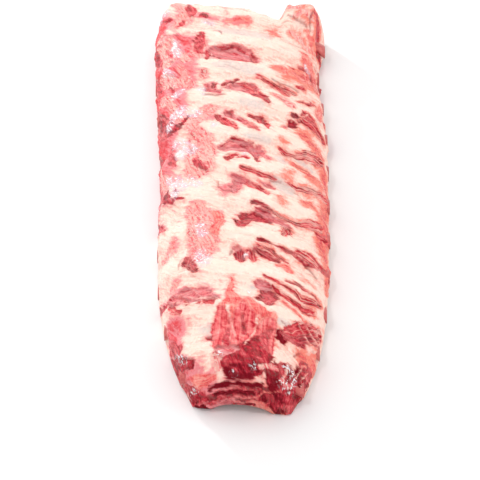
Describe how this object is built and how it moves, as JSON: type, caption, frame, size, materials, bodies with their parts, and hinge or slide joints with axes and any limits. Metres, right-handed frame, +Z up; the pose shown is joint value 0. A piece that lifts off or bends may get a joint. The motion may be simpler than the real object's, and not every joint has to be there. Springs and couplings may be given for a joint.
{
  "type": "rack of ribs",
  "caption": "Raw rack of pork back ribs: a long arched slab of marbled meat and fat over curved rib bones, narrow at one cut end, lying rounded side up.",
  "frame": {"origin": "on the surface that the rack rests on, under the middle of its box", "axes": "+Z up through the rounded outer side, +Y along the rack towards its wide end, +X to its right as seen from the narrow end"},
  "size_m": [0.1444, 0.465, 0.0467],
  "materials": {
    "raw_meat": "moist raw pork, pink and red muscle marbled with cream fat, with wet highlights",
    "bone": "sawn rib bone, off-white with a pink porous middle"
  },
  "bodies": {
    "root": {"meat": "raw_meat", "rib_01": "bone", "rib_02": "bone", "rib_03": "bone", "rib_04": "bone", "rib_05": "bone", "rib_06": "bone", "rib_07": "bone", "rib_08": "bone", "rib_09": "bone", "rib_10": "bone", "rib_11": "bone"}
  },
  "joints": []
}
